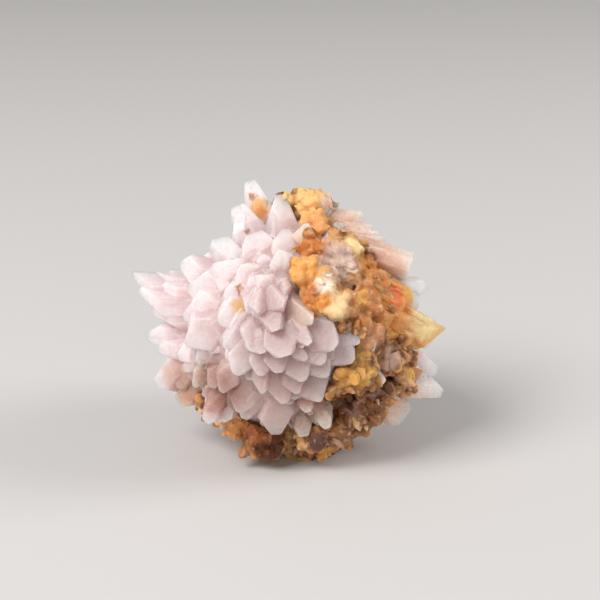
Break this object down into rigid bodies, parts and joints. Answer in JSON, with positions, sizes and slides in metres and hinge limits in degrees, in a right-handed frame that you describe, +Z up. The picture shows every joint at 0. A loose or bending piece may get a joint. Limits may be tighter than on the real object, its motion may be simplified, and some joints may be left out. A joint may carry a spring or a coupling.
{
  "type": "creedite ball",
  "caption": "Ball-shaped cluster of flattened lavender crystals with chisel ends, spraying from an ochre-crusted core that rests on a small flat spot.",
  "frame": {"origin": "middle of the small flat spot under the ball, on the surface it rests on", "axes": "+Z up, -Z out of the flat spot, +X the ball's right in its front view and its longest side, +Y away from that view"},
  "size_m": [0.0304, 0.0243, 0.0248],
  "materials": {
    "creedite": "glassy crystal faces, milky lavender, with matt ochre crust between them"
  },
  "bodies": {
    "root": {"creedite_ball": "creedite"}
  },
  "joints": []
}
